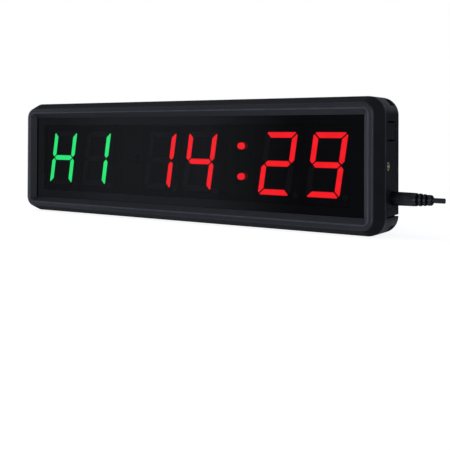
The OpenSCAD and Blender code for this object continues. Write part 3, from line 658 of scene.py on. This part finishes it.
CAD_FINISHES = {
    "display_lens": LENS, "lens_tape": TAPE, "main_board": BOARD,
    "round_tens_module": HOUSING, "round_units_module": HOUSING,
    "minute_tens_module": HOUSING, "minute_units_module": HOUSING,
    "second_tens_module": HOUSING, "second_units_module": HOUSING,
    "digit_pins": TINNED, "microcontroller": CHIP, "display_drivers": CHIP,
    "clock_chip": CHIP, "crystal": STEEL, "coin_cell_holder": MOULDED, "coin_cell": STEEL,
    "buzzer": MOULDED, "voltage_regulator": CHIP, "capacitors": SLEEVE,
    "resistors": CERAMIC, "power_header": NYLON, "power_wires": RED_WIRE,
    "jack_pin": NICKEL, "jack_spring": NICKEL, "board_screws": DARK_STEEL,
    "plug_insulator": MOULDED, "plug_contact": NICKEL,
}


def finish_cad_nodes():
    """Gives the CAD's own pieces that stay in the picture their materials."""
    for node, finish in CAD_FINISHES.items():
        materials = NODES[node].data.materials
        materials.clear()
        materials.append(finish)


# ---------------------------------------------------------------- the case

def frame_profile(brow):
    """Cross-section of the frame: (distance out, depth), with moulded fillets."""
    return rounded([
        (RAIL - FRONT_INSET, 0.0, brow),
        (RAIL - RIDGE_INSET, 0.0, 0.7),
        (0.0, LIP_DEPTH, 0.3),
        (0.0, LIP_BACK, 0.1),
        (RAIL - LIP_ROOT, LIP_BACK, 0.4),
        (RAIL - WALL, TAPER_DEPTH, 1.5),
        (RAIL - WALL, DEPTH, 0.2),
        (RAIL, DEPTH, 0.45),
        (RAIL, TAPER_DEPTH, 0.8),
    ])


def with_guards(outline, gap=0.35):
    """Adds a point gap mm in from each end of every long side, so that flats stay flat."""
    out = []
    for i, (u, v) in enumerate(outline):
        out.append((u, v))
        a, b = Vector((u, v)), Vector(outline[(i + 1) % len(outline)])
        if (b - a).length > 4 * gap:
            for p in (a + (b - a).normalized() * gap, b - (b - a).normalized() * gap):
                out.append((p.x, p.y))
    return out


def frame_sweep(steps=14):
    """The frame's ring; its front outer edge is rounder along the left-hand end."""
    loops = []
    for quarter in range(4):
        cx = CORNER_X if quarter in (0, 3) else -CORNER_X
        cy = CORNER_Y if quarter < 2 else -CORNER_Y
        for k in range(steps + 1):
            angle = math.radians(90 * (quarter + k / steps))
            brow = BROW_RADIUS + LEFT_BROW_EXTRA * max(0.0, -math.cos(angle))
            loops.append([place(cx + r * math.cos(angle), cy + r * math.sin(angle), d)
                          for r, d in with_guards(frame_profile(brow))])
    return skin(loops)


def latch_cutters(side, low, high, end):
    """What the opening for one latch and its round hinge takes out of the end wall."""
    yield side_block(side, HALF_W - WALL - 1, HALF_W + 1, low, high, LATCH_HINGE, end)
    yield upright_rod(side * (HALF_W - WALL / 2), low, high, LATCH_HINGE, 1.05)


def corner_point(quarter, radius, degrees, depth):
    """A point round one of the case's corner circles; degrees is counted from its first side."""
    cx = CORNER_X if quarter in (0, 3) else -CORNER_X
    cy = CORNER_Y if quarter < 2 else -CORNER_Y
    angle = math.radians(90 * quarter + degrees)
    return place(cx + radius * math.cos(angle), cy + radius * math.sin(angle), depth)


def prism(rows):
    """A solid through a row of matching outlines, closed at both ends."""
    bm = bmesh.new()
    rows = [[bm.verts.new(p) for p in row] for row in rows]
    count = len(rows[0])
    for a, b in zip(rows, rows[1:]):
        for i in range(count):
            bm.faces.new((a[i], a[(i + 1) % count], b[(i + 1) % count], b[i]))
    bm.faces.new(rows[0])
    bm.faces.new(rows[-1])
    return outward(bm)


def corner_slot(quarter, steps=8):
    """The slot through the wall round one corner, near the back."""
    near, far = RAIL - WALL - 1, RAIL + 1
    section = [(near, SLOT_FRONT), (far, SLOT_FRONT), (far, DEPTH - SLOT_RIM),
               (near, DEPTH - SLOT_RIM)]
    return prism([[corner_point(quarter, r, SLOT_START + SLOT_SWEEP * k / steps, d)
                   for r, d in section] for k in range(steps + 1)])


def boss_rib(quarter):
    """The web that ties a cover boss to the corner of the wall."""
    inner, outer = (RAIL - BOSS_INSET) * math.sqrt(2), RAIL - WALL + 0.6
    half = RIB_HALF_THICKNESS
    rows = []
    for depth in (RIB_START, RIB_END):
        corners = []
        for radius, offset in ((inner, -half), (outer, -half), (outer, half), (inner, half)):
            lean = math.degrees(math.atan2(offset, radius))
            corners.append(corner_point(quarter, math.hypot(radius, offset), 45 + lean, depth))
        rows.append(corners)
    return prism(rows)


def bezel_additions(bosses):
    """Bosses, webs and jack ribs inside the frame."""
    for x, y in bosses:
        yield rod(depth_point(x, y), BOSS_RADIUS, LIP_BACK - 0.5, COVER_FRONT - 0.1)
    for quarter in range(4):
        yield boss_rib(quarter)
    for side in (-1, 1):
        yield rod(end_point(side, 0, INSERT_DEPTH), INSERT_BOSS_RADIUS, -10, -1)
    half, thickness = 4.6, 1.5
    for d in (JACK_DEPTH - 7.1, JACK_DEPTH + 5.6):
        yield block(HALF_W - 12, HALF_W - 1, JACK_Y - half, JACK_Y + half, d, d + thickness)


def bezel_cuts(bosses):
    """Pilot holes, insert pockets, latch openings, the jack's hole and the corner slots."""
    for x, y in bosses:
        yield rod(depth_point(x, y), PILOT_RADIUS, COVER_FRONT - PILOT_LENGTH, DEPTH, 32)
    for side in (-1, 1):
        yield rod(end_point(side, 0, INSERT_DEPTH), INSERT_RADIUS + 0.02, INSERT_TAIL - 0.5, 1)
        for latch in (UPPER_LATCH, LOWER_LATCH):
            yield from latch_cutters(side, *latch)
    yield rod(end_point(1, JACK_Y, JACK_DEPTH), JACK_HOLE_RADIUS, -WALL - 1, 1, 64)
    for quarter in range(4):
        yield corner_slot(quarter)


def bezel_shell():
    """The frame with everything moulded to it and cut out of it."""
    bosses = [(x, y) for x in (-HALF_W + BOSS_INSET, HALF_W - BOSS_INSET)
              for y in (-HALF_H + BOSS_INSET, HALF_H - BOSS_INSET)]
    steps = [("UNION", bm) for bm in bezel_additions(bosses)]
    steps += [("DIFFERENCE", bm) for bm in bezel_cuts(bosses)]
    piece("bezel_shell", combined(frame_sweep(), steps), CASE, "front_bezel")


def back_face(co):
    """True on the back of the case."""
    return abs(co.y - CASE_HIGH.y) < 5e-6


def cover():
    softened("back_cover", "rear_cover", CASE, 0.35, back_face)


def latches():
    """The four snap tabs, softened on their outer faces away from the hinge."""
    for node in ("right_upper_latch", "right_lower_latch", "left_upper_latch",
                 "left_lower_latch"):
        low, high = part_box(node)
        sign = 1 if "right" in node else -1
        outer = (high.x if sign > 0 else low.x) - sign * 0.05 * MM

        def on_face(co, outer=outer, sign=sign):
            return sign * co.x > sign * outer and co.y > (LATCH_HINGE - DEPTH / 2 + 0.1) * MM
        softened(node + "_tab", node, CASE, 0.25, on_face)


# ---------------------------------------------------------------- display

def segments():
    """Lit and unlit diffusers, softened along their front edges."""
    for name, node, finish in (("green_segments", "round_segments_lit", LIT_GREEN),
                               ("red_segments", "clock_segments_lit", LIT_RED),
                               ("dark_round_segments", "round_segments_unlit", UNLIT),
                               ("dark_clock_segments", "clock_segments_unlit", UNLIT)):
        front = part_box(node)[0].y

        def on_front(co, front=front):
            return co.y < front + 5e-6
        softened(name, node, finish, 0.40, on_front, 3, 20.0)


def colon_lamps():
    """Two round lamps with domed tips and a flange."""
    (x0, y0, tip), (x1, y1, foot) = case_box("colon_leds")
    radius, flange = 2.5, 2.9
    profile = [(radius * math.sin(a), tip + radius * (1 - math.cos(a))) for a in quarter_turn(10)]
    profile += [(radius, foot - 1.15), (radius + 0.08, foot - 1.0), (flange - 0.1, foot - 1.0),
                (flange, foot - 0.9), (flange, foot - 0.1), (flange - 0.1, foot), (0, foot)]
    whole = bmesh.new()
    for y in (y0 + flange, y1 - flange):
        lamp = turned(profile, depth_point((x0 + x1) / 2, y), 48)
        mesh = bpy.data.meshes.new("work")
        lamp.to_mesh(mesh)
        lamp.free()
        whole.from_mesh(mesh)
        bpy.data.meshes.remove(mesh)
    piece("colon_lamps", whole, LAMP_RED, "colon_leds")


def receiver():
    """Infrared receiver: a small block with a domed window on its front."""
    (x0, y0, front), (x1, y1, foot) = case_box("ir_receiver")
    x, y = (x0 + x1) / 2, (y0 + y1) / 2
    half_x, half_y, radius, dome = 2.9, 3.6, 2.6, 1.6
    body = block(x - half_x, x + half_x, y - half_y, y + half_y, front + dome, foot)
    bmesh.ops.bevel(body, geom=body.edges[:], offset=0.25 * MM, segments=2, profile=0.5,
                    affect="EDGES")
    window = [(radius * math.sin(a), front + dome * (1 - math.cos(a))) for a in quarter_turn(8)]
    window += [(radius, front + dome + 0.5), (0, front + dome + 0.5)]
    shape = combined(body, [("UNION", turned(window, depth_point(x, y), 40))])
    piece("receiver", shape, EPOXY, "ir_receiver")


# ---------------------------------------------------------------- ends

def threaded_insert(side, node):
    """Turned insert with two grooves, chamfered mouths and a cut thread inside."""
    point = end_point(side, 0, INSERT_DEPTH)
    outer, minor, major, pitch = INSERT_RADIUS, 1.65, 2.0, 0.7
    face, tail, steps = INSERT_FACE, INSERT_TAIL, 72
    rows = int((face - tail) / pitch * 6)
    outside = [(outer - 0.25, face), (outer, face - 0.25)]
    for share in (0.3, 0.62):
        middle = tail * share
        outside += [(outer, middle + 0.5), (outer - 0.3, middle + 0.4),
                    (outer - 0.3, middle - 0.4), (outer, middle - 0.5)]
    outside += [(outer, tail + 0.25), (outer - 0.25, tail)]
    loops = []
    for k in range(steps):
        angle = 2 * math.pi * k / steps
        loop = [point(r, t, angle) for r, t in outside]
        for i in range(rows + 1):
            t = tail + (face - tail) * i / rows
            phase = (t / pitch - k / steps) % 1.0
            cut = max(0.0, 1 - abs(phase - 0.5) * 2.6)
            mouth = max(0.0, 0.45 - min(face - t, t - tail))
            loop.append(point(max(minor + (major - minor) * 0.6 * cut, minor + mouth), t, angle))
        loops.append(loop)
    piece(node.replace("insert", "threaded_insert"), skin(loops), BRASS, node, sharp=50)


def jack():
    nose = (HALF_W - 0.35) * MM

    def on_nose(co):
        return co.x > nose
    softened("jack_socket", "jack_body", MOULDED, 0.25, on_nose)


def cover_screw_heads():
    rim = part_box("cover_screws")[1].y

    def on_rim(co):
        return co.y > rim - 5e-6
    softened("cover_screw_set", "cover_screws", BLACK_ZINC, 0.18, on_rim)


def label():
    softened("blank_label", "rating_label", LABEL, 0.05)


# ---------------------------------------------------------------- plug and lead

def boot_outline():
    """(radius, distance out) of the boot: three rounded grooves in a tapering strain relief."""
    r = BOOT_RADIUS
    corners = [(0.0, -0.25, 0), (r - 0.2, -0.25, 0.15), (r, 0.2, 0.2)]
    corners += [(r - 0.01 - 0.014 * k, 1.0 + k, 0) for k in range(14)]
    for k, (start, length) in enumerate(GROOVES, 1):
        top = r - GROOVE_SHRINK * k
        low = top - GROOVE_DEPTH
        corners += [(top, start, 0.2), (low, start + 0.15, 0.12),
                    (low, start + 0.15 + length, 0.12), (top - 0.1, start + 0.3 + length, 0.2)]
    bore = LEAD_RADIUS + 0.02
    corners += [(r - 1.24, BOOT_END - 0.6, 0.4), (r - 1.65, BOOT_END, 0.2), (bore, BOOT_END, 0),
                (bore, LEAD_ROOT, 0), (0.0, LEAD_ROOT, 0)]
    return rounded(corners, 3)


def fluted(radius, travel, angle):
    """Lengthwise grip flutes that fade out at both ends."""
    if radius < BOOT_RADIUS - GROOVE_DEPTH:
        return radius
    rise = max(0.0, min(1.0, (travel - 3.6) / 1.6, (16.0 - travel) / 1.2))
    fade = rise * rise * (3 - 2 * rise)
    return radius - FLUTE_DEPTH * fade * (0.5 - 0.5 * math.cos(FLUTES * angle))


def plug():
    """The moulded boot and the metal barrel in its nose."""
    point = end_point(1, JACK_Y, JACK_DEPTH)
    boot = turned(boot_outline(), point, FLUTES * 8, fluted)
    pocket = rod(point, BARREL_RADIUS + 0.02, -1, 2, 64)
    piece("boot", combined(boot, [("DIFFERENCE", pocket)]), BOOT, "plug_boot")
    tip = case_box("plug_barrel")[0][0] - HALF_W
    outer, inner = BARREL_RADIUS, BARREL_RADIUS - 0.35
    barrel = rounded([(inner, tip, 0.1), (outer, tip, 0.3), (outer, 2.0, 0), (inner, 2.0, 0)], 4)
    piece("barrel", turned(barrel, point, 64), NICKEL, "plug_barrel")


def core_point(side):
    """Maps (radius, distance out, angle) to a point round one of the lead's two cores."""
    return end_point(1, JACK_Y + side * CORE_OFFSET, JACK_DEPTH)


def stranded(radius, travel, angle):
    """Seven strands round a core's edge."""
    return radius * (1 - 0.08 * (0.5 + 0.5 * math.cos(7 * angle)))


def lead():
    """Round jacket with a cut end that shows its two cores."""
    point = end_point(1, JACK_Y, JACK_DEPTH)
    end = case_box("power_lead")[1][0] - HALF_W
    outline = rounded([
        (0.0, LEAD_ROOT + 0.05, 0), (LEAD_RADIUS, LEAD_ROOT + 0.05, 0),
        (LEAD_RADIUS, end - 0.4, 0.0), (LEAD_RADIUS, end, 0.25), (0.0, end, 0),
    ], 4)
    bores = [("DIFFERENCE", rod(core_point(side), 0.62, end - 1.0, end + 1, 24))
             for side in (-1, 1)]
    piece("lead", combined(turned(outline, point, 40), bores), LEAD, "power_lead")
    lead_core("lead_core_low", -1, MOULDED, end)
    lead_core("lead_core_high", 1, RED_WIRE, end)


def lead_core(name, side, finish, end):
    """A core's sleeve and its copper, showing in the lead's cut end."""
    root = end - CORE_STRIP
    sleeve = rounded([(0.3, root, 0), (0.6, root, 0), (0.6, end - 0.15, 0.1),
                      (0.3, end - 0.15, 0.05)], 3)
    copper = rounded([(0.0, root, 0), (0.28, root, 0), (0.28, end - 0.05, 0.1),
                      (0.0, end - 0.05, 0)], 3)
    cover = piece(name, turned(sleeve, core_point(side), 28), finish, body="plug")
    wire = piece(name + "_copper", turned(copper, core_point(side), 16, stranded), COPPER,
                 body="plug")


# ---------------------------------------------------------------- stage, light, camera

COOL = (0.91, 0.95, 1.09, 1)
WHITE = (1, 1, 1, 1)
FLOOR_LIFT = 0.88
# Brightness of the studio by direction, from hard left (-1) to hard right (1)
ROOM = [(-1.0, 2.6), (-0.92, 2.6), (-0.83, 0.25), (-0.70, 0.20), (-0.643, 0.40), (-0.55, 0.38),
        (-0.456, 0.04), (-0.372, 0.05), (-0.25, 0.05), (0.0, 0.04), (1.0, 0.04)]
BACKDROP = 0.45
# The camera: where it stands, how it is turned, and the off-centre crop as shares of the width
HOME = Vector((0.34150, -0.49087, 0.06790))
YAW, PITCH, ROLL = math.radians(33.8272), math.radians(-0.5120), math.radians(0.2581)
SENSOR = 36.0
FOCAL_LENGTH = 60.556
CROP = {"shift_x": 0.054904, "shift_y": -0.216850}


def floor():
    """A pale matt sheet, lifted to plain white for the camera and away from the timer."""
    bm = bmesh.new()
    bmesh.ops.create_grid(bm, x_segments=24, y_segments=24, size=4.0)
    for v in bm.verts:
        v.co.z = -0.0002
    mesh = bpy.data.meshes.new("floor")
    bm.to_mesh(mesh)
    bm.free()
    obj = bpy.data.objects.new("floor", mesh)
    bpy.context.scene.collection.objects.link(obj)
    mat = bpy.data.materials.new("pale_floor")
    mat.use_nodes = True
    tree = mat.node_tree
    tree.nodes.clear()
    where = add(tree, "ShaderNodeTexCoord").outputs["Object"]
    radius = add(tree, "ShaderNodeVectorMath", {0: where}, operation="LENGTH").outputs["Value"]
    far = spread(tree, radius, 0.0, 1.0, 0.25, 0.60)
    speck = spread(tree, noise(tree, where, 2.0, 2.0), 0.49, 0.51)
    base = add(tree, "ShaderNodeCombineColor", {0: speck, 1: speck, 2: speck}).outputs[0]
    matt = add(tree, "ShaderNodeBsdfDiffuse", {"Color": base}).outputs[0]
    seen = add(tree, "ShaderNodeLightPath").outputs["Is Camera Ray"]
    lift = add(tree, "ShaderNodeEmission", {
        "Color": WHITE, "Strength": sums(tree, "MULTIPLY", seen, FLOOR_LIFT),
    }).outputs[0]
    near = add(tree, "ShaderNodeAddShader", {0: matt, 1: lift}).outputs[0]
    plain = add(tree, "ShaderNodeEmission", {
        "Color": WHITE, "Strength": spread(tree, seen, 0.3, 1.0, 0.0, 1.0),
    }).outputs[0]
    mixed = add(tree, "ShaderNodeMixShader", {0: far, 1: near, 2: plain}).outputs[0]
    out = add(tree, "ShaderNodeOutputMaterial")
    tree.links.new(mixed, out.inputs["Surface"])
    mesh.materials.append(mat)
    obj.visible_glossy = False
    obj.visible_shadow = False


def world():
    """White to the camera; to everything else a dim studio with a paler backdrop above and
    below the horizon."""
    studio = bpy.data.worlds.new("studio")
    bpy.context.scene.world = studio
    studio.use_nodes = True
    tree = studio.node_tree
    tree.nodes.clear()
    way = add(tree, "ShaderNodeTexCoord").outputs["Generated"]
    x, y, z = axes_of(tree, way)
    ramp = add(tree, "ShaderNodeValToRGB", {"Fac": spread(tree, x, 0.0, 1.0, -1.0, 1.0)})
    for direction, _ in ROOM[1:-1]:
        ramp.color_ramp.elements.new((direction + 1) / 2)
    for element, (direction, level) in zip(ramp.color_ramp.elements, ROOM):
        element.position = (direction + 1) / 2
        element.color = (level, level, level, 1)
    tall = sums(tree, "ABSOLUTE", z)
    band = sums(tree, "MULTIPLY", spread(tree, tall, 0.0, 1.0, 0.10, 0.24),
                spread(tree, tall, 1.0, 0.0, 0.35, 0.60))
    behind = sums(tree, "MULTIPLY", band, spread(tree, y, 0.0, BACKDROP, 0.55, 0.80))
    front = sums(tree, "MAXIMUM", spread(tree, y, 1.0, 0.0, -0.1, 0.4),
                 spread(tree, x, 1.0, 0.0, -0.98, -0.93))
    around = spread(tree, front, 0.05, 1.0, 0.0, 1.0)
    strength = sums(tree, "ADD", sums(tree, "MULTIPLY", ramp.outputs[0], around), behind)
    path = add(tree, "ShaderNodeLightPath").outputs
    through = spread(tree, path["Transparent Depth"], 1.0, 0.06, 0.0, 1.0)
    strength = sums(tree, "MULTIPLY", strength, through)
    seen = sums(tree, "MULTIPLY", path["Is Camera Ray"], sums(tree, "GREATER_THAN", through, 0.5))
    dim = add(tree, "ShaderNodeBackground", {"Color": COOL, "Strength": strength})
    white = add(tree, "ShaderNodeBackground", {"Color": WHITE, "Strength": 1.0})
    mixed = add(tree, "ShaderNodeMixShader", {0: seen, 1: dim.outputs[0], 2: white.outputs[0]})
    out = add(tree, "ShaderNodeOutputWorld")
    tree.links.new(mixed.outputs[0], out.inputs["Surface"])


def softbox(name, at, aim, size, watts):
    """A rectangular soft light; gives its data block."""
    data = bpy.data.lights.new(name, "AREA")
    data.shape = "RECTANGLE"
    data.size, data.size_y = size
    data.energy = watts
    data.color = COOL[:3]
    obj = bpy.data.objects.new(name, data)
    bpy.context.scene.collection.objects.link(obj)
    obj.location = at
    obj.rotation_mode = "QUATERNION"
    obj.rotation_quaternion = (Vector(aim) - Vector(at)).to_track_quat("-Z", "Y")
    return data


def lights():
    """A key light, two fills, a glint on the right end, and a rear light for views from behind."""
    softbox("key", (0.30, -1.5, 0.03), (0, 0, 0.04), (0.45, 0.60), 7.8)
    softbox("overhead", (-0.1, -0.2, 1.3), (0, 0, 0), (1.2, 0.9), 3.0)
    softbox("bounce", (-0.1, -0.5, -1.2), (0, 0, 0.05), (1.2, 0.9), 4.2)
    softbox("glint", (0.75, -0.55, 0.35), (0.165, 0, 0.045), (0.10, 0.10), 1.1)
    rear = softbox("rear", (-0.5, 1.4, 0.9), (0, 0, 0.05), (1.2, 0.8), 12.0)
    by_viewpoint(rear, "energy", 0.0, rear.energy)


def camera():
    """The photo's viewpoint: low, close and well to the right, with the view shifted down."""
    data = bpy.data.cameras.new("camera")
    obj = bpy.data.objects.new("camera", data)
    bpy.context.scene.collection.objects.link(obj)
    data.sensor_width = SENSOR
    data.lens = FOCAL_LENGTH
    data.clip_start = 0.01
    data.clip_end = 50.0
    forward = Vector((-math.sin(YAW) * math.cos(PITCH), math.cos(YAW) * math.cos(PITCH),
                      -math.sin(PITCH)))
    right = Vector((math.cos(YAW), math.sin(YAW), 0.0))
    up = right.cross(forward)
    side = right * math.cos(ROLL) + up * math.sin(ROLL)
    head = up * math.cos(ROLL) - right * math.sin(ROLL)
    turn = Matrix((side, head, -forward)).transposed().to_4x4()
    obj.matrix_world = Matrix.Translation(HOME) @ turn
    bpy.context.scene.camera = obj
    for setting, value in CROP.items():
        by_viewpoint(data, setting, value, 0.0)


def by_viewpoint(data, setting, at_home, elsewhere):
    """Gives a setting one value while the camera stands at HOME's x and another elsewhere."""
    setattr(data, setting, at_home)
    curve = data.driver_add(setting)
    curve.driver.type = "SUM"
    stand = curve.driver.variables.new()
    stand.type = "TRANSFORMS"
    target = stand.targets[0]
    target.id = bpy.context.scene.camera
    target.transform_type = "LOC_X"
    target.transform_space = "WORLD_SPACE"
    for modifier in list(curve.modifiers):
        curve.modifiers.remove(modifier)
    curve.extrapolation = "CONSTANT"
    levels = [(HOME.x - 0.03, elsewhere), (HOME.x - 0.01, at_home), (HOME.x + 0.01, at_home),
              (HOME.x + 0.03, elsewhere)]
    curve.keyframe_points.clear()
    curve.keyframe_points.add(len(levels))
    for key, level in zip(curve.keyframe_points, levels):
        key.co = level
        key.handle_left = level
        key.handle_right = level
        key.interpolation = "LINEAR"
    curve.update()


finish_cad_nodes()
bezel_shell()
cover()
latches()
segments()
colon_lamps()
receiver()
threaded_insert(1, "right_insert")
threaded_insert(-1, "left_insert")
jack()
cover_screw_heads()
label()
plug()
lead()
floor()
world()
camera()
lights()
bpy.context.scene.view_settings.view_transform = "Standard"
